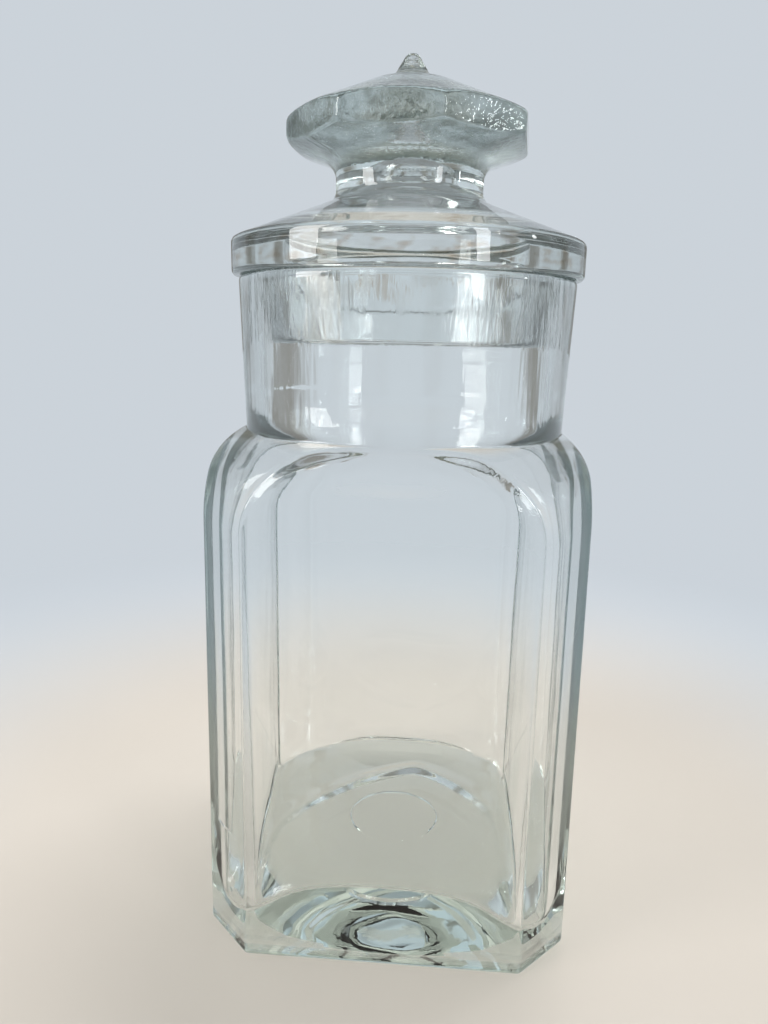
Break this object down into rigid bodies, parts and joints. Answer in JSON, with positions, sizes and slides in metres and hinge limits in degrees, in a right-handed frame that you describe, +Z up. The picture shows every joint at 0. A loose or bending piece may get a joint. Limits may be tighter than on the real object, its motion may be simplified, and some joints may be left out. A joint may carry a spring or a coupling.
{
  "type": "lidded glass canister",
  "caption": "Square glass storage jar with chamfered corners, a round neck and a hollow glass stopper lid with an eight-sided knob.",
  "frame": {"origin": "centre of the foot, on the surface that the jar stands on", "axes": "+Z up through the neck and the lid's knob, +X to the right and +Y to the back, square to the flats"},
  "size_m": [0.11, 0.11, 0.2613],
  "materials": {
    "jar_glass": "clear moulded soda-lime glass, fire-polished, faintly wavy, pale aqua where it is thick",
    "lid_glass": "clear pressed soda-lime glass, polished, with a finely ground grey band around the top of the plug"
  },
  "bodies": {
    "jar": {"jar": "jar_glass"},
    "lid": {"lid": "lid_glass"}
  },
  "joints": [
    {"name": "lid_lift", "type": "slide", "parent": "jar", "child": "lid", "axis": [0, 0, 1], "range_m": [0, 0.06]}
  ]
}
